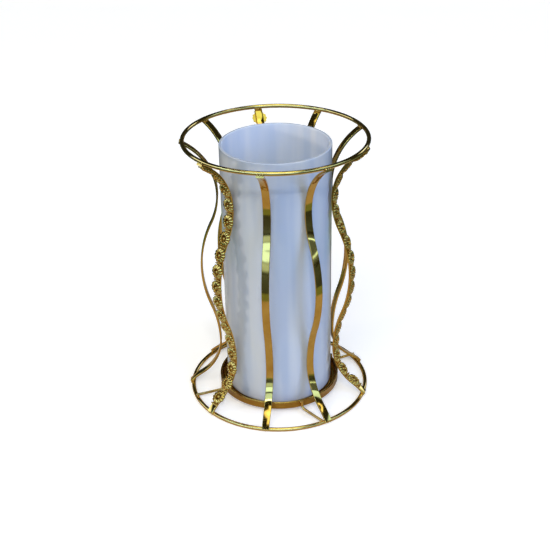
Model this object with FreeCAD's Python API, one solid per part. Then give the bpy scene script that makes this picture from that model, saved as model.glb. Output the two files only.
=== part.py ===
import FreeCAD, Part
import math
import os
from FreeCAD import Placement, Rotation, Vector

# A straight glazed cylinder vase that stands loose in a gold-plated cage of brazed wire and strip.
# Millimetres, +Z up. The origin is on the vase's axis, in the plane that the foot ring stands on.
# Straps are numbered anticlockwise from above, and angles are measured the same way from +X.

# Driving dimensions: vase
VASE_OUTER_R = 59.0
VASE_WALL = 3.0
VASE_BASE_T = 5.0
VASE_RIM_DROP = 8.0         # rim below the top of the cage
VASE_RIM_R = 1.3
VASE_HEEL_R = 3.0
VASE_WELL_R = 6.0

# Rings
TOP_RING_OUTER_R = 98.7
FOOT_RING_OUTER_R = 101.3
RING_WIRE_R = 2.25
CAGE_H = 302.5              # underside of the foot ring to the top of the top ring
BRAZE_GAP = 0.05            # film of filler between two brazed pieces

# Straps: flat strip, bent to an hourglass in a plane through the axis
STRAP_COUNT = 9
STRAP_FIRST_ANGLE = 21.0
STRAP_W = 8.0
STRAP_T = 2.2
STRAP_EDGE_R = 0.45         # the strip's corners are drawn round
NECK_GAP = 2.5              # between the vase and the straps at the neck, under the top ring
WAIST_GAP = 5.4             # between the vase and the straps at the waist, over the foot
BELLY_SWELL = 20.2          # belly's radius over the neck's
BELLY_Z = 152.0
BELLY_SHARE = 0.6           # part of the way from belly to neck that the belly's arc takes
FLARE_LEAN = 63.0           # lean from upright where the strip passes under the top ring
FLARE_LAP = 1.8             # end that shows beyond the top ring
FOOT_LEAN = 56.0            # greatest lean from upright, on the foot's shoulder
TOE_LEAN = 44.0             # lean from upright where the strip lands on the foot ring
TOE_BEND_R = 82.0
TOE_LAP = 0.6               # end beyond its seat on the foot ring

# Rosette trim on every third strap: a stamped gallery strip, brazed to the strap's outside
TRIM_EVERY = 3
TRIM_FIRST = 3
TRIM_W = 4.0
TRIM_SINK = 0.4             # rosette's back below the face of its strip
TRIM_TOP_BARE = 2.0         # bare strap between the top ring and the trim
TRIM_FOOT_BARE = 9.0        # bare strap between the trim and the toe's seat
ROSETTE_PITCH = 18.0
ROSETTE_R = 8.25
ROSETTE_VALLEY_R = 7.3
ROSETTE_PETALS = 12
ROSETTE_T = 1.4
ROSETTE_CLEARANCE = 0.2     # between a rosette and its strap where the strap is most hollow
RECESS_R = 4.8              # hollow between the petals and the ball
RECESS_T = 0.7
BUTTON_R = 2.2              # ball at the middle of a rosette

# Dish that the vase stands in: an upright band round a flat floor
DISH_GAP = 7.0              # between the vase and the band
BAND_T = 1.5
BAND_H = 8.5
BAND_Z = 7.0                # underside of the band and the floor
BAND_LIP_R = 0.6
FLOOR_T = 1.5

# Wire spokes that carry the dish: angle on the foot ring and angle on the band
SPOKE_WIRE_R = 1.5
SPOKE_ANGLES = [(27.0, 27.0), (115.0, 115.0), (201.0, 201.0), (297.0, 291.0)]
SPOKE_BEND_R = 4.0
SPOKE_LAP = 1.2             # end beyond the middle of the foot ring's wire

TOP_RING_R = TOP_RING_OUTER_R - RING_WIRE_R
TOP_RING_Z = CAGE_H - RING_WIRE_R
FOOT_RING_R = FOOT_RING_OUTER_R - RING_WIRE_R
NECK_R = VASE_OUTER_R + NECK_GAP + STRAP_T / 2          # to the strip's centre line
WAIST_R = VASE_OUTER_R + WAIST_GAP + STRAP_T / 2
BELLY_R = NECK_R + BELLY_SWELL
BAND_OUTER_R = VASE_OUTER_R + DISH_GAP + BAND_T
FLOOR_TOP_Z = BAND_Z + FLOOR_T
VASE_TOP_Z = CAGE_H - VASE_RIM_DROP


# A strip's centre line is a list of tangent runs in the (r, z) plane. Each run is
# (r, z, lean, length, turn): where it starts, its lean from upright there (outwards is
# positive, radians), its length, and how much its lean grows over that length.

def lean_at(run, along):
    return run[2] + run[4] * along / run[3]


def point_on(run, along, outward):
    """Point at a distance along a run, moved outwards from the centre line."""
    r, z, lean, length, turn = run
    now = lean_at(run, along)
    if turn:
        bend_r = length / turn
        r += bend_r * (math.cos(lean) - math.cos(now))
        z += bend_r * (math.sin(now) - math.sin(lean))
    else:
        r += along * math.sin(lean)
        z += along * math.cos(lean)
    return Vector(r + outward * math.cos(now), 0, z - outward * math.sin(now))


def chain_runs(start, steps):
    """Runs that follow one another from start = (r, z, lean), one for each (length, turn)."""
    runs = []
    r, z, lean = start
    for length, turn in steps:
        run = (r, z, lean, length, turn)
        end = point_on(run, length, 0)
        r, z, lean = end.x, end.z, lean + turn
        runs.append(run)
    return runs


def clipped(runs, start, end):
    """The stretch of a line between two distances along it."""
    kept, passed = [], 0
    for run in runs:
        length = run[3]
        low, high = max(start - passed, 0), min(end - passed, length)
        if high > low:
            p = point_on(run, low, 0)
            share = (high - low) / length
            kept.append((p.x, p.z, lean_at(run, low), high - low, run[4] * share))
        passed += length
    return kept


def place_on(runs, along, outward):
    """Placement at a distance along a line: x runs along the strip, z points out of its face."""
    for run in runs:
        if along <= run[3]:
            break
        along -= run[3]
    lean = lean_at(run, along)
    tangent = Vector(math.sin(lean), 0, math.cos(lean))
    face = Vector(math.cos(lean), 0, -math.sin(lean))
    return Placement(point_on(run, along, outward), Rotation(tangent, face.cross(tangent), face, "ZXY"))


def s_curve(dr, dz):
    """Mean length and the turn of two opposite arcs that step sideways by dr over a rise of dz."""
    turn = 2 * math.atan2(dr, dz)
    return dz / 2 * turn / math.sin(turn), turn


def strap_line():
    """Strap's centre line, from its toe on the foot ring to its end over the top ring."""
    seat = RING_WIRE_R + BRAZE_GAP + STRAP_T / 2
    toe, foot, flare = (math.radians(a) for a in (TOE_LEAN, FOOT_LEAN, FLARE_LEAN))
    toe_r = FOOT_RING_R + seat * math.cos(toe)
    toe_z = RING_WIRE_R + seat * math.sin(toe)
    foot_r = toe_r - TOE_BEND_R * (math.cos(toe) - math.cos(foot))
    foot_z = toe_z + TOE_BEND_R * (math.sin(foot) - math.sin(toe))
    foot_bend_r = (foot_r - WAIST_R) / (1 - math.cos(foot))
    waist_z = foot_z + foot_bend_r * math.sin(foot)
    flare_r = TOP_RING_R + seat * math.cos(flare)
    flare_z = TOP_RING_Z - seat * math.sin(flare)
    flare_bend_r = (flare_r - NECK_R) / (1 - math.cos(flare))
    neck_z = flare_z - flare_bend_r * math.sin(flare)
    swell = s_curve(BELLY_R - WAIST_R, BELLY_Z - waist_z)
    draw_in = s_curve(BELLY_R - NECK_R, neck_z - BELLY_Z)
    steps = [
        (TOE_LAP, 0),
        (TOE_BEND_R * (foot - toe), toe - foot),
        (foot_bend_r * foot, foot),
        (swell[0], swell[1]),
        (swell[0], -swell[1]),
        (2 * BELLY_SHARE * draw_in[0], -draw_in[1]),
        (2 * (1 - BELLY_SHARE) * draw_in[0], draw_in[1]),
        (flare_bend_r * flare, flare),
        (FLARE_LAP, 0),
    ]
    end = (toe_r + TOE_LAP * math.sin(toe), toe_z - TOE_LAP * math.cos(toe), -toe)
    return chain_runs(end, steps)


def strip(runs, outward, thickness, width):
    """Flat strip that follows a line, its middle moved outwards from it."""
    edges = []
    for side in (outward - thickness / 2, outward + thickness / 2):
        for run in runs:
            a, b, c = (point_on(run, run[3] * share, side) for share in (0, 0.5, 1))
            edges.append(Part.Arc(a, b, c).toShape() if run[4] else Part.makeLine(a, c))
    for run, along in ((runs[0], 0), (runs[-1], runs[-1][3])):
        inner = point_on(run, along, outward - thickness / 2)
        edges.append(Part.makeLine(inner, point_on(run, along, outward + thickness / 2)))
    face = Part.Face(Part.Wire(Part.__sortEdges__(edges)))
    face.translate(Vector(0, -width / 2, 0))
    return face.extrude(Vector(0, width, 0))


def about_axis(shape, angle):
    turned = shape.copy()
    turned.rotate(Vector(0, 0, 0), Vector(0, 0, 1), angle)
    return turned


def strap():
    runs = strap_line()
    shape = strip(runs, 0, STRAP_T, STRAP_W)
    tips = [point_on(runs[0], 0, 0), point_on(runs[-1], runs[-1][3], 0)]
    long_edges = []
    for edge in shape.Edges:
        middle = edge.CenterOfMass
        on_side = abs(abs(middle.y) - STRAP_W / 2) < 1e-6
        middle.y = 0
        if on_side and min(middle.distanceToPoint(tip) for tip in tips) > 1e-6:
            long_edges.append(edge)
    return shape.makeFillet(STRAP_EDGE_R, long_edges)


def rosette():
    """One stamped flower, its back at z = 0: a scalloped plate, hollowed round a ball."""
    half = math.pi / ROSETTE_PETALS
    petals = []
    for i in range(ROSETTE_PETALS):
        a, b, c = (Vector(r * math.cos(angle), r * math.sin(angle), 0) for r, angle in (
            (ROSETTE_VALLEY_R, (2 * i - 1) * half),
            (ROSETTE_R, 2 * i * half),
            (ROSETTE_VALLEY_R, (2 * i + 1) * half)))
        petals.append(Part.Arc(a, b, c).toShape())
    plate = Part.Face(Part.Wire(petals)).extrude(Vector(0, 0, ROSETTE_T))
    floor_z = ROSETTE_T - RECESS_T
    plate = plate.cut(Part.makeCylinder(RECESS_R, RECESS_T, Vector(0, 0, floor_z)))
    upper_half = Part.makeSphere(BUTTON_R, Vector(0, 0, floor_z), Vector(0, 0, 1), 0, 90)
    return plate.fuse(upper_half)


def hollow_depth(runs):
    """How far the strap's face rises under a rosette's edge on the tightest hollow bend."""
    tightest = min(run[3] / run[4] for run in runs if run[4] > 0) - STRAP_T / 2
    return tightest - math.sqrt(tightest ** 2 - ROSETTE_R ** 2)


def rosette_chain():
    runs = strap_line()
    start = TOE_LAP + TRIM_FOOT_BARE
    end = sum(run[3] for run in runs) - FLARE_LAP - TRIM_TOP_BARE
    back = STRAP_T / 2 + BRAZE_GAP
    lift = hollow_depth(runs) + ROSETTE_CLEARANCE
    thickness = lift + TRIM_SINK
    chain = strip(clipped(runs, start, end), back + thickness / 2, thickness, TRIM_W)
    count = round((end - start) / ROSETTE_PITCH)
    pitch = (end - start) / count
    flower = rosette()
    flowers = []
    for i in range(count):
        copy = flower.copy()
        copy.Placement = place_on(runs, start + (i + 0.5) * pitch, back + lift)
        flowers.append(copy)
    return chain.fuse(flowers)


def ring(radius, z):
    return Part.makeTorus(radius, RING_WIRE_R, Vector(0, 0, z))


def rim_edges(shape, radius, z):
    return [e for e in shape.Edges if isinstance(e.Curve, Part.Circle)
            and abs(e.Curve.Radius - radius) < 1e-6 and abs(e.CenterOfMass.z - z) < 1e-6]


def band():
    inner_r = BAND_OUTER_R - BAND_T
    shape = Part.makeCylinder(BAND_OUTER_R, BAND_H).cut(Part.makeCylinder(inner_r, BAND_H))
    lips = rim_edges(shape, BAND_OUTER_R, BAND_H) + rim_edges(shape, inner_r, BAND_H)
    shape = shape.makeFillet(BAND_LIP_R, lips)
    shape.translate(Vector(0, 0, BAND_Z))
    return shape


def dish_floor():
    return Part.makeCylinder(BAND_OUTER_R - BAND_T - BRAZE_GAP, FLOOR_T, Vector(0, 0, BAND_Z))


def spoke(ring_angle, band_angle):
    """Wire from the top of the foot ring in to the dish and up the outside of its band."""
    leg_r = BAND_OUTER_R + BRAZE_GAP + SPOKE_WIRE_R
    run_z = 2 * RING_WIRE_R + BRAZE_GAP + SPOKE_WIRE_R
    out_a, in_a = math.radians(ring_angle), math.radians(band_angle)
    outer = Vector(math.cos(out_a), math.sin(out_a), 0) * (FOOT_RING_R + SPOKE_LAP)
    leg = Vector(math.cos(in_a), math.sin(in_a), 0) * leg_r
    outer.z = leg.z = run_z
    inward = (leg - outer).normalize()
    up = Vector(0, 0, 1)
    bend_start = leg - inward * SPOKE_BEND_R
    bend_mid = bend_start + inward * (SPOKE_BEND_R * math.sin(math.pi / 4)) \
        + up * (SPOKE_BEND_R * (1 - math.cos(math.pi / 4)))
    bend_end = leg + up * SPOKE_BEND_R
    tip = Vector(leg.x, leg.y, BAND_Z + BAND_H - BAND_LIP_R)
    route = Part.Wire([Part.makeLine(outer, bend_start), Part.Arc(bend_start, bend_mid, bend_end).toShape(),
                       Part.makeLine(bend_end, tip)])
    section = Part.Wire(Part.makeCircle(SPOKE_WIRE_R, outer, inward))
    return route.makePipeShell([section], True, False)


def vase():
    height = VASE_TOP_Z - FLOOR_TOP_Z
    inner_r = VASE_OUTER_R - VASE_WALL
    well = Part.makeCylinder(inner_r, height, Vector(0, 0, VASE_BASE_T))
    shape = Part.makeCylinder(VASE_OUTER_R, height).cut(well)
    rim = rim_edges(shape, VASE_OUTER_R, height) + rim_edges(shape, inner_r, height)
    shape = shape.makeFillet(min(VASE_RIM_R, 0.45 * VASE_WALL), rim)
    shape = shape.makeFillet(VASE_HEEL_R, rim_edges(shape, VASE_OUTER_R, 0))
    shape = shape.makeFillet(VASE_WELL_R, rim_edges(shape, inner_r, VASE_BASE_T))
    shape.translate(Vector(0, 0, FLOOR_TOP_Z))
    return shape


def build():
    nodes = {
        "vase_cylinder": vase(),
        "top_ring": ring(TOP_RING_R, TOP_RING_Z),
        "foot_ring": ring(FOOT_RING_R, RING_WIRE_R),
        "dish_band": band(),
        "dish_floor": dish_floor(),
    }
    bare_strap, trim = strap(), rosette_chain()
    for i in range(1, STRAP_COUNT + 1):
        angle = STRAP_FIRST_ANGLE + (i - 1) * 360 / STRAP_COUNT
        nodes[f"strap_{i}"] = about_axis(bare_strap, angle)
        if i % TRIM_EVERY == TRIM_FIRST % TRIM_EVERY:
            nodes[f"rosette_chain_{i}"] = about_axis(trim, angle)
    for i, angles in enumerate(SPOKE_ANGLES, 1):
        nodes[f"spoke_{i}"] = spoke(*angles)
    return nodes


os.makedirs("parts", exist_ok=True)
for name, shape in build().items():
    solids = shape.Solids
    print(f"{name:18} solids {len(solids)} valid {shape.isValid()} volume {shape.Volume:.0f} mm3")
    shape = solids[0] if len(solids) == 1 else Part.makeCompound(solids)
    shape.exportStep(f"parts/{name}.step")
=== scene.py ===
import math

import bmesh
import bpy
from mathutils import Matrix, Vector


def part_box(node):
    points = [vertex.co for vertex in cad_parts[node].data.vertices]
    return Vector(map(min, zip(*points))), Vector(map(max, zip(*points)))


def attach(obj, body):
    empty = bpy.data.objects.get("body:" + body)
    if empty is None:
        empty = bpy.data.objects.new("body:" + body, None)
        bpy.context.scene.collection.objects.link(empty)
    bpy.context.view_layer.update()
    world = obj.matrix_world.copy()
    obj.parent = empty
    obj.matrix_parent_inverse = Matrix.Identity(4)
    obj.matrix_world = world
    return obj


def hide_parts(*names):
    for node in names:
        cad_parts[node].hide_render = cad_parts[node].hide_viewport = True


# A straight porcelain vase standing loose in a gold-plated cage of nine bent straps.
# Sizes in the dictionaries are millimetres; everything built is in metres in the frame's axes.

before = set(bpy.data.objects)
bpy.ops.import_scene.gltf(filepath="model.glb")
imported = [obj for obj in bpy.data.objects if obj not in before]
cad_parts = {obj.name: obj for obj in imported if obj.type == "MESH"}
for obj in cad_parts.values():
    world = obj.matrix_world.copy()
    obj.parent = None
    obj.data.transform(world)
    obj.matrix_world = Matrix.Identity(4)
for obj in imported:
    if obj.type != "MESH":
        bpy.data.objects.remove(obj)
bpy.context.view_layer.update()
mm = 0.001


def linear(hexText):  # sRGB hex to the linear colour that a shader takes
    parts = [int(hexText[i:i + 2], 16) / 255 for i in (1, 3, 5)]
    return tuple(c / 12.92 if c <= 0.04045 else ((c + 0.055) / 1.055) ** 2.4 for c in parts) + (1.0,)


def addNode(tree, kind, links=None, **settings):  # links holds sockets to join and values to set
    made = tree.nodes.new(kind)
    for name, value in settings.items():
        setattr(made, name, value)
    for name, value in (links or {}).items():
        if isinstance(value, bpy.types.NodeSocket):
            tree.links.new(value, made.inputs[name])
        else:
            made.inputs[name].default_value = value
    return made


def perSize(size):  # pattern scale that gives features this many millimetres across
    return 1 / (size * mm)


# Camera and light come first.
cameraLook = {"distance": 1.065, "height": 0.7111, "tiltDown": 28.25, "pan": 0.155, "roll": -1.03,
              "lens": 71.8, "sensor": 36.0}


def addCamera(look):
    data = bpy.data.cameras.new("camera")
    data.lens, data.sensor_width, data.clip_end = look["lens"], look["sensor"], 1000
    camera = bpy.data.objects.new("camera", data)
    bpy.context.scene.collection.objects.link(camera)
    camera.matrix_world = (Matrix.Translation((0, -look["distance"], look["height"]))
                           @ Matrix.Rotation(math.radians(look["pan"]), 4, "Z")
                           @ Matrix.Rotation(math.radians(90 - look["tiltDown"]), 4, "X")
                           @ Matrix.Rotation(math.radians(look["roll"]), 4, "Z"))
    bpy.context.scene.camera = camera


studioLook = {
    "backdrop": "#F7F7F5",
    "fill": "#F6F8FC",
    "fillStrength": 0.40,
    "room": "#2C332F",          # what the metal sees where there is no light
    # Softboxes that show in the metal: lowest and highest edge and the two side edges in degrees
    # (side 0 is +X, -90 is in front), edge softness in degrees, colour, strength.
    "softboxes": [
        (3, 12, -158, -64, 3.0, "#86B4F0", 2.4),
        (13, 24, -158, -64, 2.0, "#80B3FF", 5.4),
        (28, 45.5, -176, -66, 2.0, "#80B3FF", 3.8),
        (42.5, 45, -176, -66, 1.0, "#A8C8FF", 12.0),
        (4, 27, -60, 6, 3.0, "#84AEE8", 0.42),
        (8.5, 10.5, -60, 6, 1.0, "#8CBEFF", 5.0),
        (28, 41.5, -66, 6, 1.5, "#80B3FF", 4.6),
        (58, 77, -108, -44, 3.0, "#E2F6F0", 2.4),
        (67, 75, -180, -108, 2.5, "#E2F6F0", 2.4),
        (55.5, 60, -24, 24, 1.5, "#E2F6F0", 2.4),
        (73, 91, -181, 181, 2.0, "#BFE4D2", 2.4),
        (12, 30, 152, 181, 3.0, "#A0C2FF", 4.6),
        (12, 30, -181, -162, 3.0, "#A0C2FF", 4.6),
        (12, 26, 30, 52, 3.0, "#A0C2FF", 4.6),
        (60, 62, 40, 140, 1.0, "#A8C8FF", 9.0),
    ],
}


# Soft even light for matt surfaces; polished metal and glaze see a dark room with softboxes in it.
def studioWorld(look):
    world = bpy.data.worlds.new("studio")
    bpy.context.scene.world = world
    world.use_nodes = True
    tree = world.node_tree
    tree.nodes.clear()
    ray = addNode(tree, "ShaderNodeTexCoord").outputs["Generated"]
    parts = addNode(tree, "ShaderNodeSeparateXYZ", {"Vector": ray})
    height = addNode(tree, "ShaderNodeMath", {0: parts.outputs["Z"]}, operation="ARCSINE")
    side = addNode(tree, "ShaderNodeMath", {0: parts.outputs["Y"], 1: parts.outputs["X"]},
                   operation="ARCTAN2")
    total = addNode(tree, "ShaderNodeBackground", {"Color": linear(look["room"]), "Strength": 1.0})
    for low, high, first, last, soft, colour, strength in look["softboxes"]:
        inside = None
        for angle, start, end in ((height, low, high), (side, first, last)):
            for edge, way in ((start, 1), (end, -1)):
                step = addNode(tree, "ShaderNodeMapRange", {
                    "Value": angle.outputs[0], "From Min": math.radians(edge - way * soft / 2),
                    "From Max": math.radians(edge + way * soft / 2)})
                if inside is None:
                    inside = step
                else:
                    inside = addNode(tree, "ShaderNodeMath", {0: inside.outputs[0], 1: step.outputs[0]},
                                     operation="MULTIPLY")
        power = addNode(tree, "ShaderNodeMath", {0: inside.outputs[0], 1: strength}, operation="MULTIPLY")
        box = addNode(tree, "ShaderNodeBackground", {"Color": linear(colour), "Strength": power.outputs[0]})
        total = addNode(tree, "ShaderNodeAddShader", {0: total.outputs[0], 1: box.outputs[0]})
    rays = addNode(tree, "ShaderNodeLightPath")
    fill = addNode(tree, "ShaderNodeBackground", {"Color": linear(look["fill"]),
                                                 "Strength": look["fillStrength"]})
    backdrop = addNode(tree, "ShaderNodeBackground", {"Color": linear(look["backdrop"]), "Strength": 1.0})
    lit = addNode(tree, "ShaderNodeMixShader", {0: rays.outputs["Is Glossy Ray"], 1: fill.outputs[0],
                                               2: total.outputs[0]})
    seen = addNode(tree, "ShaderNodeMixShader", {0: rays.outputs["Is Camera Ray"], 1: lit.outputs[0],
                                                2: backdrop.outputs[0]})
    addNode(tree, "ShaderNodeOutputWorld", {"Surface": seen.outputs[0]})


lights = {
    "softKey": {"kind": "SUN", "place": (-0.35, -1.2, 1.35), "power": 1.0, "spread": 38,
                "colour": "#FFFCF6"},
    "hardKey": {"kind": "SUN", "place": (0.1, -1.2, 1.3), "power": 0.6, "spread": 5,
                "colour": "#FFFCF6"},
    "leftLamp": {"kind": "AREA", "place": (-1.5, -0.62, 0.55), "power": 5.5, "spread": 0.1,
                 "colour": "#FFEEDC"},
    "coolWindow": {"kind": "AREA", "place": (1.4, -1.1, 0.9), "power": 18, "spread": 1.1,
                   "colour": "#A9C6FF"},
}
lightAim = Vector((0, 0, 0.15))


def addLight(name, look):  # spread is a sun's angle in degrees or a softbox's width in metres
    data = bpy.data.lights.new(name, look["kind"])
    data.energy, data.color = look["power"], linear(look["colour"])[:3]
    if look["kind"] == "SUN":
        data.angle = math.radians(look["spread"])
    else:
        data.shape, data.size = "DISK", look["spread"]
    lamp = bpy.data.objects.new(name, data)
    bpy.context.scene.collection.objects.link(lamp)
    lamp.location = look["place"]
    lamp.rotation_euler = (lightAim - lamp.location).to_track_quat("-Z", "Y").to_euler()
    lamp.visible_camera = lamp.visible_glossy = False


addCamera(cameraLook)
studioWorld(studioLook)
for lightName, lightLook in lights.items():
    addLight(lightName, lightLook)
bpy.context.scene.view_settings.view_transform = "Standard"
print("camera and light ready")


def newMaterial(name):
    material = bpy.data.materials.new(name)
    material.use_nodes = True
    material.node_tree.nodes.clear()
    return material, material.node_tree


def closeMaterial(tree, **sockets):  # a socket's name is written with _ for each space
    named = {key.replace("_", " "): value for key, value in sockets.items()}
    shader = addNode(tree, "ShaderNodeBsdfPrincipled", named)
    addNode(tree, "ShaderNodeOutputMaterial", {"Surface": shader.outputs[0]})


goldLook = {
    "bright": "#DDAB50",        # full plating
    "worn": "#CC963F",          # thin plating with the brass wash under it showing
    "cloudSize": 16.0,          # patches that the buff has left duller
    "wornFrom": (0.42, 0.72),   # share of the cloud pattern where the colour turns, start and end
    "dullFrom": (0.35, 0.75),   # the same for roughness
    "roughness": (0.055, 0.15),
    "waveSize": 26.0,           # slow waves from bending and hand buffing
    "waveDepth": 0.02,
    "lineSize": 1.1,            # buffing lines; real ones are finer, these are coarse enough to show
    "lineDepth": 0.003,
    "pitSize": 3.0,             # dust nibs under the plating
    "pitReach": 0.12,           # a nib's radius as a share of their spacing
    "pitDepth": 0.005,
    "relief": 0.0,              # how much painted shade darkens the hollows of a stamping
    "hollow": "#33240A",        # colour of the painted shade in those hollows, with some polish left in them
}


# Gold-plated steel, bent cold and buffed by hand: mirror bright with slow waves in its reflections,
# faint buffing lines, a few nibs, and duller browner clouds where the plating is thin.
def goldPlate(name, look):
    material, tree = newMaterial(name)
    place = addNode(tree, "ShaderNodeTexCoord").outputs["Object"]
    cloud = addNode(tree, "ShaderNodeTexNoise", {"Vector": place, "Scale": perSize(look["cloudSize"]),
                                                "Detail": 5.0, "Roughness": 0.6}).outputs["Fac"]
    start, end = look["wornFrom"]
    dull = addNode(tree, "ShaderNodeMapRange", {"Value": cloud, "From Min": start, "From Max": end})
    colour = addNode(tree, "ShaderNodeMix", {0: dull.outputs[0], 6: linear(look["bright"]),
                                            7: linear(look["worn"])}, data_type="RGBA")
    # Painted shade, with some polish left in them, darkens the low parts of a stamping.
    if look["relief"]:
        hollow = addNode(tree, "ShaderNodeAttribute", attribute_name="hollow")
        shade = addNode(tree, "ShaderNodeMath", {0: hollow.outputs["Fac"], 1: look["relief"]},
                        operation="MULTIPLY")
        colour = addNode(tree, "ShaderNodeMix", {0: shade.outputs[0], 6: colour.outputs[2],
                                                7: linear(look["hollow"])}, data_type="RGBA")
    low, high = look["roughness"]
    start, end = look["dullFrom"]
    rough = addNode(tree, "ShaderNodeMapRange", {"Value": cloud, "From Min": start, "From Max": end,
                                                "To Min": low, "To Max": high})
    wave = addNode(tree, "ShaderNodeTexNoise", {"Vector": place, "Scale": perSize(look["waveSize"]),
                                               "Detail": 1.5}).outputs["Fac"]
    line = addNode(tree, "ShaderNodeTexNoise", {"Vector": place, "Scale": perSize(look["lineSize"]),
                                               "Detail": 2.0}).outputs["Fac"]
    pit = addNode(tree, "ShaderNodeTexVoronoi", {"Vector": place, "Scale": perSize(look["pitSize"])})
    nib = addNode(tree, "ShaderNodeMapRange", {"Value": pit.outputs["Distance"],
                                              "From Max": look["pitReach"],
                                              "To Min": 1.0, "To Max": 0.0}).outputs[0]
    normal = None
    for relief, depth in ((wave, look["waveDepth"]), (line, look["lineDepth"]), (nib, look["pitDepth"])):
        links = {"Height": relief, "Strength": 1.0, "Distance": depth * mm}
        if normal:
            links["Normal"] = normal
        normal = addNode(tree, "ShaderNodeBump", links).outputs["Normal"]
    closeMaterial(tree, Base_Color=colour.outputs[2], Metallic=1.0, Roughness=rough.outputs[0],
                  Normal=normal)
    return material


glazeLook = {
    "body": "#CFD6DF",          # white body seen through a faintly blue glaze
    "streakTint": "#B9C6DA",         # bluer streaks, a painted reflection
    "streakWidth": 16.0,           # soft streaks of painted reflection down the wall
    "streakLength": 190.0,
    "streakLean": 12,              # degrees that the streaks lean over
    "streakFrom": (0.35, 0.65),    # share of the streak pattern where the colour turns, start and end
    "speckSize": 9.0,           # spacing of pinhole specks
    "speckReach": (0.02, 0.035),
    "speckDepth": 0.6,
    "speck": "#8C94A8",
    "peelSize": 5.0,            # slow orange peel of a thick glaze
    "peelDepth": 0.02,
    "waveSize": 55.0,           # the wall isn't perfectly true, so reflections wander
    "waveDepth": 0.25,
    "roughness": 0.06,
    "ior": 1.5,
    "glowShare": 0.6,           # how much of the colour comes from light that went into the body
    "glowReach": 3.5,           # how far that light spreads
    "glowTint": (1.0, 0.95, 0.9),
}


# Glazed porcelain, slip cast and fired white: glassy and smooth over a softly lit body, with soft slanting
# streaks of painted reflection, the slow waviness of a cast wall and a few pinhole specks.
def porcelainGlaze(name, look):
    material, tree = newMaterial(name)
    place = addNode(tree, "ShaderNodeTexCoord").outputs["Object"]
    # Painted reflection: soft slanting streaks, bluer than the body.
    slant = addNode(tree, "ShaderNodeMapping", {
        "Vector": place, "Rotation": (0, math.radians(look["streakLean"]), 0),
        "Scale": (1, 1, look["streakWidth"] / look["streakLength"])}).outputs[0]
    streaks = addNode(tree, "ShaderNodeTexNoise", {"Vector": slant, "Scale": perSize(look["streakWidth"]),
                                               "Detail": 2.0, "Roughness": 0.4}).outputs["Fac"]
    start, end = look["streakFrom"]
    streaked = addNode(tree, "ShaderNodeMapRange", {"Value": streaks, "From Min": start, "From Max": end})
    mixed = addNode(tree, "ShaderNodeMix", {0: streaked.outputs[0], 6: linear(look["body"]),
                                           7: linear(look["streakTint"])}, data_type="RGBA")
    dots = addNode(tree, "ShaderNodeTexVoronoi", {"Vector": place, "Scale": perSize(look["speckSize"])})
    start, end = look["speckReach"]
    speck = addNode(tree, "ShaderNodeMapRange", {"Value": dots.outputs["Distance"], "From Min": start,
                                                "From Max": end, "To Min": look["speckDepth"],
                                                "To Max": 0.0})
    colour = addNode(tree, "ShaderNodeMix", {0: speck.outputs[0], 6: mixed.outputs[2],
                                            7: linear(look["speck"])}, data_type="RGBA")
    wave = addNode(tree, "ShaderNodeTexNoise", {"Vector": place, "Scale": perSize(look["waveSize"]),
                                               "Detail": 1.0})
    bent = addNode(tree, "ShaderNodeBump", {"Height": wave.outputs["Fac"], "Strength": 1.0,
                                           "Distance": look["waveDepth"] * mm})
    peel = addNode(tree, "ShaderNodeTexNoise", {"Vector": place, "Scale": perSize(look["peelSize"]),
                                               "Detail": 2.0})
    skin = addNode(tree, "ShaderNodeBump", {"Height": peel.outputs["Fac"], "Strength": 1.0,
                                           "Distance": look["peelDepth"] * mm,
                                           "Normal": bent.outputs["Normal"]})
    closeMaterial(tree, Base_Color=colour.outputs[2], Roughness=look["roughness"], IOR=look["ior"],
                  Subsurface_Weight=look["glowShare"], Subsurface_Radius=look["glowTint"],
                  Subsurface_Scale=look["glowReach"] * mm, Normal=skin.outputs["Normal"])
    return material


footLook = {"dark": "#CFC8BC", "pale": "#E4DED3", "grainSize": 0.8, "grainDepth": 0.03, "roughness": 0.75}


# Bare fired porcelain where the vase stood in the kiln: dry, matt and slightly warm.
def bareFoot(name, look):
    material, tree = newMaterial(name)
    place = addNode(tree, "ShaderNodeTexCoord").outputs["Object"]
    grain = addNode(tree, "ShaderNodeTexNoise", {"Vector": place, "Scale": perSize(look["grainSize"]),
                                                "Detail": 5.0}).outputs["Fac"]
    colour = addNode(tree, "ShaderNodeMix", {0: grain, 6: linear(look["dark"]),
                                            7: linear(look["pale"])}, data_type="RGBA")
    bump = addNode(tree, "ShaderNodeBump", {"Height": grain, "Distance": look["grainDepth"] * mm})
    closeMaterial(tree, Base_Color=colour.outputs[2], Roughness=look["roughness"],
                  Normal=bump.outputs["Normal"])
    return material


floorLook = {
    "halfWidth": 60,            # metres, so that no edge of it shows
    "colour": "#F7F7F5",
    "roughness": 0.7,
    "shine": 0.2,
    "glow": 0.34,               # light from below the sheet, for the camera only
    # How it looks in the metal and lights the vase: colours from the middle out, each from its radius.
    "seen": ((0, "#C6C1B4"), (345, "#7E9663"), (500, "#333A31")),
    "blend": 22.0,
}


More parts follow.
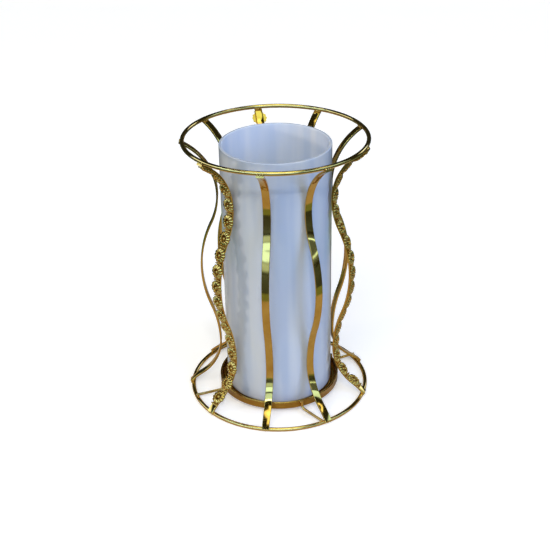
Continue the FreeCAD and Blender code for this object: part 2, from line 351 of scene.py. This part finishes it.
# Matt pale floor. To the metal and the glaze it is a table top that ends in a dim room.
def paleFloor(name, look):
    material, tree = newMaterial(name)
    place = addNode(tree, "ShaderNodeTexCoord").outputs["Object"]
    reach = addNode(tree, "ShaderNodeVectorMath", {0: place}, operation="LENGTH")
    seen = linear(look["seen"][0][1])
    for radius, colour in look["seen"][1:]:
        past = addNode(tree, "ShaderNodeMapRange", {"Value": reach.outputs["Value"], "From Min": radius * mm,
                                                   "From Max": (radius + look["blend"]) * mm})
        seen = addNode(tree, "ShaderNodeMix", {0: past.outputs[0], 6: seen, 7: linear(colour)},
                       data_type="RGBA").outputs[2]
    rays = addNode(tree, "ShaderNodeLightPath")
    colour = addNode(tree, "ShaderNodeMix", {0: rays.outputs["Is Camera Ray"], 6: seen,
                                            7: linear(look["colour"])}, data_type="RGBA")
    glow = addNode(tree, "ShaderNodeMath", {0: rays.outputs["Is Camera Ray"], 1: look["glow"]},
                   operation="MULTIPLY")
    closeMaterial(tree, Base_Color=colour.outputs[2], Roughness=look["roughness"],
                  Specular_IOR_Level=look["shine"], Emission_Color=linear(look["colour"]),
                  Emission_Strength=glow.outputs[0])
    return material


gold = goldPlate("goldPlatedStrip", goldLook)
wireGold = goldPlate("goldPlatedWire", {**goldLook, "bright": "#EAB75F", "worn": "#D6A14E",
                                        "roughness": (0.03, 0.08), "waveSize": 40.0})
stampedGold = goldPlate("goldPlatedStamping", {**goldLook, "roughness": (0.05, 0.12), "waveDepth": 0.02,
                                               "pitDepth": 0.0, "relief": 0.72})
dishGold = goldPlate("goldPlatedDish", {**goldLook, "bright": "#C8933A", "worn": "#A8742A",
                                        "roughness": (0.16, 0.3), "waveDepth": 0.08})
glaze = porcelainGlaze("glazedPorcelain", glazeLook)
# The inside gets paler colours: painted light where the inside gets less light.
insideLitGlaze = porcelainGlaze("glazedPorcelainInsidePaintedLighter", {**glazeLook, "body": "#DDE3EB", "streakTint": "#CBD7E7"})
bisque = bareFoot("unglazedFoot", footLook)
print("materials ready")


def addObject(name, mesh):
    piece = bpy.data.objects.new(name, mesh)
    bpy.context.scene.collection.objects.link(piece)
    return piece


def finish(piece, body, slot, *nodes, sharp=40):  # smooth shading that stays crisp at true corners
    piece.data.shade_smooth()
    piece.data.set_sharp_from_angle(angle=math.radians(sharp))
    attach(piece, body)
    if nodes:
        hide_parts(*nodes)


def rounded(corners, steps=6):  # corners are (r, z, radius); gives the loop with an arc at each corner
    loop = []
    for i, (r, z, radius) in enumerate(corners):
        here = Vector((r, z))
        if not radius:
            loop.append(here)
            continue
        back = (Vector(corners[i - 1][:2]) - here).normalized()
        ahead = (Vector(corners[(i + 1) % len(corners)][:2]) - here).normalized()
        half = back.angle(ahead) / 2
        centre = here + (back + ahead).normalized() * radius / math.sin(half)
        first = here + back * radius / math.tan(half) - centre
        last = here + ahead * radius / math.tan(half) - centre
        sweep = math.pi - 2 * half
        for s in range(steps + 1):
            t = s / steps
            loop.append(centre + (first * math.sin((1 - t) * sweep) + last * math.sin(t * sweep))
                        / math.sin(sweep))
    return loop


def lathe(name, loop, material, segments=256):  # turns a closed loop of (r, z) round Z
    verts = []
    for i in range(segments):
        angle = 2 * math.pi * i / segments
        verts += [(p[0] * math.cos(angle), p[0] * math.sin(angle), p[1]) for p in loop]
    count = len(loop)
    faces = []
    for i in range(segments):
        here, there = i * count, (i + 1) % segments * count
        for j in range(count):
            k = (j + 1) % count
            faces.append((here + j, there + j, there + k, here + k))
    mesh = bpy.data.meshes.new(name)
    mesh.from_pydata(verts, [], faces)
    shape = bmesh.new()
    shape.from_mesh(mesh)
    bmesh.ops.remove_doubles(shape, verts=shape.verts, dist=0.002 * mm)  # closes the pole
    bmesh.ops.recalc_face_normals(shape, faces=shape.faces)
    shape.to_mesh(mesh)
    shape.free()
    mesh.materials.append(material)
    return addObject(name, mesh)


def scaled(corners):
    return [(r * mm, z * mm, radius * mm) for r, z, radius in corners]


# Vase
vaseLook = {"wall": 3.0, "rim": 0.6, "heel": 3.0, "well": 6.0, "base": 5.0, "footWidth": 4.5,
            "footRise": 1.0, "heelShare": 0.6, "footSlope": 1.5, "slopeBend": 1.2, "footBend": 0.4,
            "ringStep": 12.0,
            "bareBelow": 0.25, "innerAbove": 0.1, "innerWithin": 1.6}  # where the bare foot starts, and where the inside painted lighter starts


def makeVase(look):
    low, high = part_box("vase_cylinder")
    outer = round(high.x / mm, 1)
    inner = outer - look["wall"]
    bottom, top = low.z / mm, high.z / mm
    footInner = outer - look["heel"] * look["heelShare"] - look["footWidth"]
    well = bottom + look["base"]
    loop = rounded(scaled([
        (0, bottom + look["footRise"], 0),
        (footInner - look["footSlope"], bottom + look["footRise"], look["slopeBend"]),
        (footInner, bottom, look["footBend"]), (outer, bottom, look["heel"]),
        (outer, top, look["rim"]), (inner, top, look["rim"]), (inner, well, look["well"]),
        (0, well, 0)]))
    wall = []  # long straight runs get rings, so that the mesh has no slivers
    for i, point in enumerate(loop):
        wall.append(point)
        ahead = loop[(i + 1) % len(loop)]
        cuts = int((ahead - point).length / (look["ringStep"] * mm))
        if i < len(loop) - 1:
            wall += [point.lerp(ahead, (n + 1) / (cuts + 1)) for n in range(cuts)]
    piece = lathe("vase", wall, glaze)
    piece.data.materials.append(bisque)
    piece.data.materials.append(insideLitGlaze)
    for face in piece.data.polygons:
        level, reach = face.center.z, face.center.to_2d().length
        if level < low.z + look["bareBelow"] * mm and face.normal.z < -0.5:
            face.material_index = 1
        # Inside faces take the paler colours, which are painted light.
        elif level > (well - look["innerAbove"]) * mm and reach < (outer - look["innerWithin"]) * mm:
            face.material_index = 2
    finish(piece, "vase", "glazed_body", "vase_cylinder", sharp=60)


makeVase(vaseLook)
print("vase ready")


def newTree(name, **inputs):  # a geometry tree with these named inputs
    tree = bpy.data.node_groups.new(name, "GeometryNodeTree")
    tree.interface.new_socket("Geometry", in_out="INPUT", socket_type="NodeSocketGeometry")
    for label, kind in inputs.items():
        tree.interface.new_socket(label, in_out="INPUT", socket_type="NodeSocket" + kind)
    tree.interface.new_socket("Geometry", in_out="OUTPUT", socket_type="NodeSocketGeometry")
    return tree, addNode(tree, "NodeGroupInput").outputs


def closeTree(tree, geometry, material):
    whole = addNode(tree, "GeometryNodeRealizeInstances", {"Geometry": geometry})
    painted = addNode(tree, "GeometryNodeSetMaterial", {"Geometry": whole.outputs[0], "Material": material})
    addNode(tree, "NodeGroupOutput", {"Geometry": painted.outputs[0]})


def grow(name, tree, mesh, **inputs):  # runs a tree on a mesh and keeps the plain result
    piece = addObject(name, mesh)
    modifier = piece.modifiers.new("grow", "NODES")
    modifier.node_group = tree
    for socket in tree.interface.items_tree:
        if socket.in_out == "INPUT" and socket.name in inputs:
            modifier[socket.identifier] = inputs[socket.name]
    graph = bpy.context.evaluated_depsgraph_get()
    made = bpy.data.meshes.new_from_object(piece.evaluated_get(graph), depsgraph=graph)
    piece.modifiers.clear()
    piece.data = made
    return piece


def pathMesh(name, points, closed=False):
    edges = [(i, i + 1) for i in range(len(points) - 1)]
    if closed:
        edges.append((len(points) - 1, 0))
    mesh = bpy.data.meshes.new(name)
    mesh.from_pydata([tuple(p) for p in points], edges, [])
    return mesh


# Round wire along any path.
def wireTree(material):
    tree, size = newTree("roundWire", Radius="Float", Sides="Int")
    line = addNode(tree, "GeometryNodeMeshToCurve", {"Mesh": size["Geometry"]})
    section = addNode(tree, "GeometryNodeCurvePrimitiveCircle", {"Resolution": size["Sides"],
                                                                "Radius": size["Radius"]})
    swept = addNode(tree, "GeometryNodeCurveToMesh", {"Curve": line.outputs[0],
                                                     "Profile Curve": section.outputs[0],
                                                     "Fill Caps": True})
    closeTree(tree, swept.outputs[0], material)
    return tree


# Flat strip with eased edges, along a path in the XZ plane, then turned round Z to its place.
def stripTree(material):
    tree, size = newTree("bentStrip", Width="Float", Thickness="Float", Edge="Float", Turn="Float")
    line = addNode(tree, "GeometryNodeMeshToCurve", {"Mesh": size["Geometry"]})
    facing = addNode(tree, "GeometryNodeSetCurveNormal", {"Curve": line.outputs[0], "Normal": (0, 1, 0)},
                     mode="FREE")
    flat = addNode(tree, "GeometryNodeCurvePrimitiveQuadrilateral", {"Width": size["Width"],
                                                                    "Height": size["Thickness"]})
    section = addNode(tree, "GeometryNodeFilletCurve", {"Curve": flat.outputs[0], "Radius": size["Edge"],
                                                       "Count": 4}, mode="POLY")
    swept = addNode(tree, "GeometryNodeCurveToMesh", {"Curve": facing.outputs[0],
                                                     "Profile Curve": section.outputs[0],
                                                     "Fill Caps": True})
    spin = addNode(tree, "ShaderNodeCombineXYZ", {"Z": size["Turn"]})
    turned = addNode(tree, "GeometryNodeTransform", {"Geometry": swept.outputs[0],
                                                    "Rotation": spin.outputs[0]})
    closeTree(tree, turned.outputs[0], material)
    return tree


# Rings
ringLook = {"points": 288, "sides": 28}
ringWire = wireTree(wireGold)
rings = {}
for ringName, pieceName in (("top_ring", "topRing"), ("foot_ring", "footRing")):
    low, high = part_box(ringName)
    wire = (high.z - low.z) / 2
    rings[ringName] = (high.x - wire, (low.z + high.z) / 2, wire)
    radius, level, wire = rings[ringName]
    turns = [2 * math.pi * i / ringLook["points"] for i in range(ringLook["points"])]
    circle = [(radius * math.cos(a), radius * math.sin(a), level) for a in turns]
    ring = grow(pieceName, ringWire, pathMesh(pieceName, circle, closed=True),
                Radius=wire, Sides=ringLook["sides"])
    finish(ring, "cage", "plated_wire", ringName)
print("rings ready")


# Straps. Each runs from the foot up: a toe held to the foot ring, a long bend in to the waist, out to
# the belly, in to the neck, and out to the top ring. Leans are degrees from upright; bellyShare is the
# part of the way from belly to neck that the belly's arc takes; laps are the straight ends past a ring.
strapLook = {"count": 9, "first": 21.0, "width": 8.0, "thickness": 2.2, "edge": 0.45, "step": 1.2,
             "neckGap": 2.5, "waistGap": 5.4, "swell": 20.2, "bellyLevel": 152.0, "bellyShare": 0.6,
             "flareLean": 63.0, "footLean": 56.0,
             "toeLean": 44.0, "toeBend": 82.0, "flareLap": 1.8, "toeLap": 0.6, "brazeGap": 0.05}


def sCurve(across, up):  # mean length and turn of two opposite arcs that step sideways
    turn = 2 * math.atan2(across, up)
    return up / 2 * turn / math.sin(turn), turn


def strapSteps(look):  # start point and lean, then (length, turn) of each straight or arc, in mm
    topR, topZ, wireR = (v / mm for v in rings["top_ring"])
    footR, footZ, _ = (v / mm for v in rings["foot_ring"])
    vaseR = round(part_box("vase_cylinder")[1].x / mm, 1)
    neck = vaseR + look["neckGap"] + look["thickness"] / 2
    waist = vaseR + look["waistGap"] + look["thickness"] / 2
    belly = neck + look["swell"]
    seat = wireR + look["brazeGap"] + look["thickness"] / 2
    toe, foot, flare = (math.radians(look[k]) for k in ("toeLean", "footLean", "flareLean"))
    toeR = footR + seat * math.cos(toe)
    toeZ = footZ + seat * math.sin(toe)
    shinR = toeR - look["toeBend"] * (math.cos(toe) - math.cos(foot))
    shinZ = toeZ + look["toeBend"] * (math.sin(foot) - math.sin(toe))
    footBend = (shinR - waist) / (1 - math.cos(foot))
    waistZ = shinZ + footBend * math.sin(foot)
    flareR = topR + seat * math.cos(flare)
    flareBend = (flareR - neck) / (1 - math.cos(flare))
    neckZ = topZ - seat * math.sin(flare) - flareBend * math.sin(flare)
    out = sCurve(belly - waist, look["bellyLevel"] - waistZ)
    back = sCurve(belly - neck, neckZ - look["bellyLevel"])
    start = (toeR + look["toeLap"] * math.sin(toe), toeZ - look["toeLap"] * math.cos(toe), -toe)
    steps = [(look["toeLap"], 0), (look["toeBend"] * (foot - toe), toe - foot), (footBend * foot, foot),
             (out[0], out[1]), (out[0], -out[1]), (2 * look["bellyShare"] * back[0], -back[1]),
             (2 * (1 - look["bellyShare"]) * back[0], back[1]),
             (flareBend * flare, flare), (look["flareLap"], 0)]
    return start, steps


def strapPoint(start, steps, along, lift=0.0):  # point on the line, moved out by lift, and its lean
    r, z, lean = start
    for length, turn in steps:
        part = min(along, length)
        now = lean + turn * part / length
        if turn:
            bend = length / turn
            r += bend * (math.cos(lean) - math.cos(now))
            z += bend * (math.sin(now) - math.sin(lean))
        else:
            r += part * math.sin(lean)
            z += part * math.cos(lean)
        lean = now
        along -= part
        if along <= 0:
            break
    return Vector(((r + lift * math.cos(lean)) * mm, 0, (z - lift * math.sin(lean)) * mm)), lean


strapStart, strapRuns = strapSteps(strapLook)
strapLength = sum(length for length, turn in strapRuns)


def stretch(first, last, step, lift=0.0):
    count = math.ceil((last - first) / step)
    return [strapPoint(strapStart, strapRuns, first + (last - first) * i / count, lift)[0]
            for i in range(count + 1)]


strapTree = stripTree(gold)
strapAngles = [math.radians(strapLook["first"] + 360 / strapLook["count"] * i)
               for i in range(strapLook["count"])]
for number, angle in enumerate(strapAngles, 1):
    strap = grow(f"strap{number}", strapTree, pathMesh("strap", stretch(0, strapLength, strapLook["step"])),
                 Width=strapLook["width"] * mm, Thickness=strapLook["thickness"] * mm,
                 Edge=strapLook["edge"] * mm, Turn=angle)
    finish(strap, "cage", "plated_strap", f"strap_{number}")
print("straps ready, length", round(strapLength, 1), "mm")


# Rosettes: stamped flowers on a thin carrier, with a leaf pair between each two, on every third strap.
rosetteLook = {"petals": 12, "tip": 8.25, "valley": 7.3, "inner": 3.3, "crest": 2.7, "groove": 0.5,
               "rimEdge": 0.35, "recess": 0.4, "button": 1.8, "buttonRise": 2.5, "perPetal": 12,
               "buttonRings": 6, "recessRings": [2.0, 2.4, 2.8, 3.2], "petalRings": 12,
               "heart": 1.2, "fall": 0.8,    # a petal's height at its root, and what it loses to its tip
               "dark": 0.44, "rimShade": 0.2}  # lower than this share of the crest it gets painted shade, and the rim gets some too
chainLook = {"every": 3, "first": 3, "pitch": 18.0, "carrierWidth": 4.0, "footBare": 9.0, "topBare": 2.0,
             "clearance": 0.2, "spin": 0.5}


def rosetteHeight(look, r, rim, across):  # across is 1 on a petal's middle and 0 in the valley
    if r < look["button"]:
        dome = math.sqrt(1 - (r / look["button"]) ** 2)
        return look["recess"] + (look["buttonRise"] - look["recess"]) * dome
    if r < look["inner"]:
        return look["recess"]
    t = (r - look["inner"]) / (rim - look["inner"])
    ridge = look["groove"] + (look["crest"] - look["groove"]) * math.sqrt(1 - (1 - across) ** 4)
    lift = math.sqrt(max(0, 1 - (2 * t - 1) ** 4)) * (look["heart"] - look["fall"] * t)
    return look["rimEdge"] + (ridge - look["rimEdge"]) * lift


def rosetteMesh(look):
    around = look["petals"] * look["perPetal"]
    innerRadii = [look["button"] * math.sin(math.pi / 2 * a / look["buttonRings"])
                  for a in range(1, look["buttonRings"] + 1)] + look["recessRings"]
    verts, hollow = [(0, 0, look["buttonRise"] * mm)], [0.0]
    outerSteps = look["petalRings"]
    rows = len(innerRadii) + outerSteps + 2
    for i in range(around):
        angle = 2 * math.pi * i / around
        across = abs(2 * (i % look["perPetal"]) / look["perPetal"] - 1)
        rim = look["valley"] + (look["tip"] - look["valley"]) * (1 - (1 - across) ** 2)
        radii = innerRadii + [look["inner"] + (rim - look["inner"]) * s / outerSteps
                              for s in range(outerSteps + 1)]
        for r in radii:
            height = rosetteHeight(look, r, rim, across)
            verts.append((r * math.cos(angle) * mm, r * math.sin(angle) * mm, height * mm))
            # Painted shade: the lower a point, the darker it is painted; the rim gets a little too.
            low = 1 - min(1, height / (look["dark"] * look["crest"]))
            hollow.append(low if r > look["button"] else 0.0)
        verts.append((rim * math.cos(angle) * mm, rim * math.sin(angle) * mm, 0))
        hollow.append(look["rimShade"])
    faces = []
    for i in range(around):
        here, there = 1 + i * rows, 1 + (i + 1) % around * rows
        faces.append((0, here, there))
        for j in range(rows - 1):
            faces.append((here + j, here + j + 1, there + j + 1, there + j))
    faces.append([1 + i * rows + rows - 1 for i in reversed(range(around))])
    mesh = bpy.data.meshes.new("rosette")
    mesh.from_pydata(verts, [], faces)
    depth = mesh.attributes.new("hollow", "FLOAT", "POINT")
    for item, value in zip(depth.data, hollow):
        item.value = value
    return mesh


leafLook = {"out": 2.6, "rise": 0.45, "half": (0.95, 2.3, 0.75), "beadRise": 0.5, "bead": 1.05}


def leafPairMesh(look):  # two almond leaves set crosswise, with a bead between them
    shape = bmesh.new()
    for side in (-1, 1):
        leaf = (Matrix.Translation((0, side * look["out"] * mm, look["rise"] * mm))
                @ Matrix.Diagonal([size * mm for size in look["half"]] + [1]))
        bmesh.ops.create_uvsphere(shape, u_segments=14, v_segments=9, radius=1, matrix=leaf)
    bead = Matrix.Translation((0, 0, look["beadRise"] * mm)) @ Matrix.Scale(look["bead"] * mm, 4)
    bmesh.ops.create_uvsphere(shape, u_segments=12, v_segments=8, radius=1, matrix=bead)
    mesh = bpy.data.meshes.new("leafPair")
    shape.to_mesh(mesh)
    shape.free()
    return mesh


# Flowers and leaf pairs alternate at even spacing along the carrier.
def chainTree(material):
    tree, size = newTree("rosetteChain", Flower="Object", Leaves="Object", Places="Int", Width="Float",
                         Thickness="Float", Rise="Float", Spin="Float", Seed="Int", Turn="Float")
    line = addNode(tree, "GeometryNodeMeshToCurve", {"Mesh": size["Geometry"]})
    facing = addNode(tree, "GeometryNodeSetCurveNormal", {"Curve": line.outputs[0], "Normal": (0, 1, 0)},
                     mode="FREE")
    flat = addNode(tree, "GeometryNodeCurvePrimitiveQuadrilateral", {"Width": size["Width"],
                                                                    "Height": size["Thickness"]})
    carrier = addNode(tree, "GeometryNodeCurveToMesh", {"Curve": facing.outputs[0],
                                                       "Profile Curve": flat.outputs[0],
                                                       "Fill Caps": True})
    spots = addNode(tree, "GeometryNodeCurveToPoints", {"Curve": facing.outputs[0],
                                                       "Count": size["Places"]}, mode="COUNT")
    outward = addNode(tree, "ShaderNodeVectorMath", {0: spots.outputs["Normal"],
                                                    1: spots.outputs["Tangent"]},
                      operation="CROSS_PRODUCT").outputs[0]
    stand = addNode(tree, "FunctionNodeAxesToRotation", {"Primary Axis": outward,
                                                        "Secondary Axis": spots.outputs["Tangent"]},
                    primary_axis="Z", secondary_axis="X").outputs[0]
    lift = addNode(tree, "ShaderNodeVectorMath", {0: outward, "Scale": size["Rise"]}, operation="SCALE")
    lifted = addNode(tree, "GeometryNodeSetPosition", {"Geometry": spots.outputs["Points"],
                                                      "Offset": lift.outputs[0]})
    index = addNode(tree, "GeometryNodeInputIndex")
    odd = addNode(tree, "ShaderNodeMath", {0: index.outputs[0], 1: 2.0}, operation="MODULO")
    even = addNode(tree, "ShaderNodeMath", {0: 1.0, 1: odd.outputs[0]}, operation="SUBTRACT")
    wander = addNode(tree, "FunctionNodeRandomValue", {"Seed": size["Seed"]}, data_type="FLOAT")
    spin = addNode(tree, "ShaderNodeMath", {0: wander.outputs[1], 1: size["Spin"]}, operation="MULTIPLY")
    spinVector = addNode(tree, "ShaderNodeCombineXYZ", {"Z": spin.outputs[0]})
    parts = [carrier.outputs[0]]
    for label, chosen in (("Flower", odd), ("Leaves", even)):
        model = addNode(tree, "GeometryNodeObjectInfo", {"Object": size[label]})
        placed = addNode(tree, "GeometryNodeInstanceOnPoints", {
            "Points": lifted.outputs[0], "Selection": chosen.outputs[0],
            "Instance": model.outputs["Geometry"], "Rotation": stand})
        if label == "Flower":
            placed = addNode(tree, "GeometryNodeRotateInstances", {
                "Instances": placed.outputs[0], "Rotation": spinVector.outputs[0]})
        parts.append(placed.outputs[0])
    joined = addNode(tree, "GeometryNodeJoinGeometry")
    for part in parts:
        tree.links.new(part, joined.inputs[0])
    turn = addNode(tree, "ShaderNodeCombineXYZ", {"Z": size["Turn"]})
    turned = addNode(tree, "GeometryNodeTransform", {"Geometry": joined.outputs[0],
                                                    "Rotation": turn.outputs[0]})
    closeTree(tree, turned.outputs[0], material)
    return tree


def makeChains(look):
    first = strapLook["toeLap"] + look["footBare"]
    last = strapLength - strapLook["flareLap"] - look["topBare"]
    tightest = min(length / turn for length, turn in strapRuns if turn > 0) - strapLook["thickness"] / 2
    hollowRise = tightest - math.sqrt(tightest ** 2 - rosetteLook["tip"] ** 2)
    back = strapLook["thickness"] / 2 + strapLook["brazeGap"]
    rise = hollowRise + look["clearance"]
    flowers = round((last - first) / look["pitch"])
    flower = addObject("rosetteModel", rosetteMesh(rosetteLook))
    leaves = addObject("leafModel", leafPairMesh(leafLook))
    tree = chainTree(stampedGold)
    for number in range(look["first"], strapLook["count"] + 1, look["every"]):
        path = stretch(first, last, strapLook["step"], back + rise / 2)
        chain = grow(f"rosetteChain{number}", tree, pathMesh("chain", path), Flower=flower, Leaves=leaves,
                     Places=2 * flowers + 1, Width=look["carrierWidth"] * mm, Thickness=rise * mm,
                     Rise=rise / 2 * mm, Spin=look["spin"], Seed=number, Turn=strapAngles[number - 1])
        finish(chain, "cage", "plated_rosettes", f"rosette_chain_{number}", sharp=45)
    for model in (flower, leaves):
        bpy.data.objects.remove(model)


makeChains(chainLook)
print("rosette chains ready")


# Dish: a rolled-lip band with a stamped floor let into it.
dishLook = {"wall": 1.5, "lip": 0.95, "lipSteps": 24, "bandFoot": 0.4, "floorEdge": 0.3,
            "grooves": (24.0, 44.0, 61.5), "grooveWidth": 2.4, "grooveDepth": 0.5,
            "grooveEdge": 0.4, "grooveBottom": 0.6}


def makeDish(look):
    low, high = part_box("dish_band")
    outer, bottom, top = round(high.x / mm, 1), low.z / mm, high.z / mm
    inner, middle, lipR = outer - look["wall"], outer - look["wall"] / 2, look["lip"]
    foot = rounded(scaled([(inner, bottom, look["bandFoot"]), (outer, bottom, look["bandFoot"])]
                          + [(outer, top, 0), (inner, top, 0)]))[:-2]
    lipZ = top - lipR
    lip = []
    reach = math.asin(look["wall"] / 2 / lipR)
    for s in range(look["lipSteps"] + 1):
        angle = -math.pi / 2 + reach + (2 * math.pi - 2 * reach) * s / look["lipSteps"]
        lip.append(Vector((middle + lipR * math.cos(angle), lipZ + lipR * math.sin(angle))) * mm)
    band = lathe("dishBand", foot + lip, dishGold)
    finish(band, "cage", "plated_dish", "dish_band")
    low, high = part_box("dish_floor")
    edge, bottom, top = high.x / mm, low.z / mm, high.z / mm
    corners = [(0, bottom, 0), (edge, bottom, look["floorEdge"]), (edge, top, look["floorEdge"])]
    half, rim = look["grooveWidth"] / 2, look["grooveEdge"]
    for radius in sorted(look["grooves"], reverse=True):
        corners += [(radius + half, top, rim), (radius, top - look["grooveDepth"], look["grooveBottom"]),
                    (radius - half, top, rim)]
    floor = lathe("dishFloor", rounded(scaled(corners + [(0, top, 0)]), steps=4), dishGold)
    finish(floor, "cage", "plated_dish", "dish_floor")


makeDish(dishLook)
print("dish ready")


# Spokes: wires from the foot ring in to the dish, turned up along the outside of its band.
spokeLook = {"wire": 1.5, "bend": 4.0, "lap": 1.2, "lipDrop": 0.6, "sides": 18,
             "runSteps": 16, "bendSteps": 12,
             "angles": [(27, 27), (115, 115), (201, 201), (297, 291)]}  # at the ring, at the dish


def spokePath(look, ringAngle, bandAngle):
    ringR, ringZ, ringWireR = (v / mm for v in rings["foot_ring"])
    bandR, _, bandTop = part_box("dish_band")[1] / mm
    gap = strapLook["brazeGap"]
    level = ringZ + ringWireR + gap + look["wire"]
    legR = round(bandR, 1) + gap + look["wire"]
    outA, inA = math.radians(ringAngle), math.radians(bandAngle)
    outer = Vector((math.cos(outA), math.sin(outA), 0)) * (ringR + look["lap"])
    leg = Vector((math.cos(inA), math.sin(inA), 0)) * legR
    outer.z = leg.z = level
    inward = (leg - outer).normalized()
    corner = leg - inward * look["bend"]
    points = [outer.lerp(corner, i / look["runSteps"]) for i in range(look["runSteps"])]
    for i in range(look["bendSteps"] + 1):
        angle = math.pi / 2 * i / look["bendSteps"]
        points.append(corner + inward * look["bend"] * math.sin(angle)
                      + Vector((0, 0, look["bend"] * (1 - math.cos(angle)))))
    points.append(Vector((leg.x, leg.y, bandTop - look["lipDrop"])))
    return [p * mm for p in points]


spokePaths = [spokePath(spokeLook, *pair) for pair in spokeLook["angles"]]
for number, path in enumerate(spokePaths, 1):
    spoke = grow(f"spoke{number}", ringWire, pathMesh("spoke", path), Radius=spokeLook["wire"] * mm,
                 Sides=spokeLook["sides"])
    finish(spoke, "cage", "plated_wire", f"spoke_{number}")
print("spokes ready")


# Braze: small uneven beads of filler where strip and wire meet.
brazeLook = {"size": 1.0, "spread": 2.6, "uneven": 0.35, "lumpSize": 1.6, "lump": 0.5, "seed": 7,
             "along": 1.5, "sink": 0.45,          # from where a strap and its ring meet
             "spokeSide": 1.1, "spokeDrop": 1.4,  # from where a spoke and the foot ring meet
             "legSide": 1.0, "legOut": 1.2, "legDrop": 1.5}


def brazeTree(material):
    tree, size = newTree("brazeBeads", Size="Float", Uneven="Float", Lump="Float", Seed="Int")
    spots = addNode(tree, "GeometryNodeMeshToPoints", {"Mesh": size["Geometry"]})
    ball = addNode(tree, "GeometryNodeMeshIcoSphere", {"Radius": size["Size"], "Subdivisions": 3})
    low = addNode(tree, "ShaderNodeMath", {0: 1.0, 1: size["Uneven"]}, operation="SUBTRACT")
    high = addNode(tree, "ShaderNodeMath", {0: 1.0, 1: size["Uneven"]}, operation="ADD")
    grown = addNode(tree, "FunctionNodeRandomValue", {"Min": low.outputs[0], "Max": high.outputs[0],
                                                     "Seed": size["Seed"]}, data_type="FLOAT_VECTOR")
    placed = addNode(tree, "GeometryNodeInstanceOnPoints", {"Points": spots.outputs[0],
                                                           "Instance": ball.outputs[0],
                                                           "Scale": grown.outputs[0]})
    whole = addNode(tree, "GeometryNodeRealizeInstances", {"Geometry": placed.outputs[0]})
    noise = addNode(tree, "ShaderNodeTexNoise", {"Scale": perSize(brazeLook["lumpSize"]), "Detail": 1.0})
    centred = addNode(tree, "ShaderNodeVectorMath", {0: noise.outputs["Color"], 1: (0.5, 0.5, 0.5)},
                      operation="SUBTRACT")
    push = addNode(tree, "ShaderNodeVectorMath", {0: centred.outputs[0], "Scale": size["Lump"]},
                   operation="SCALE")
    lumpy = addNode(tree, "GeometryNodeSetPosition", {"Geometry": whole.outputs[0],
                                                     "Offset": push.outputs[0]})
    closeTree(tree, lumpy.outputs[0], material)
    return tree


def makeBraze(look):
    spots = []
    for angle in strapAngles:
        turn = Matrix.Rotation(angle, 3, "Z")
        for along in (strapLook["toeLap"], strapLength - strapLook["flareLap"]):
            for side in (-1, 1):
                for beside in (-1, 0, 1):
                    point, _ = strapPoint(strapStart, strapRuns, along + side * look["along"],
                                          -strapLook["thickness"] / 2 - look["sink"])
                    spots.append(turn @ (point + Vector((0, beside * look["spread"] * mm, 0))))
    for path in spokePaths:
        inward = (path[1] - path[0]).normalized()
        sideways = inward.cross(Vector((0, 0, 1)))
        for side in (-1, 1):
            spots.append(path[0] + inward * spokeLook["lap"] * mm
                         + sideways * side * look["spokeSide"] * mm
                         - Vector((0, 0, look["spokeDrop"] * mm)))
            spots.append(path[-1] + inward * look["legOut"] * mm
                         + sideways * side * look["legSide"] * mm - Vector((0, 0, look["legDrop"] * mm)))
    points = bpy.data.meshes.new("brazeSpots")
    points.from_pydata([tuple(p) for p in spots], [], [])
    beads = grow("brazeBeads", brazeTree(wireGold), points, Size=look["size"] * mm, Uneven=look["uneven"],
                 Lump=look["lump"] * mm, Seed=look["seed"])
    finish(beads, "cage", "plated_wire", sharp=70)


makeBraze(brazeLook)
print("braze ready")


def makeFloor(look):
    half = look["halfWidth"]
    corners = [(-half, -half, 0), (half, -half, 0), (half, half, 0), (-half, half, 0)]
    mesh = bpy.data.meshes.new("floor")
    mesh.from_pydata(corners, [], [(0, 1, 2, 3)])
    mesh.materials.append(paleFloor("paleFloor", look))
    addObject("floor", mesh)


makeFloor(floorLook)
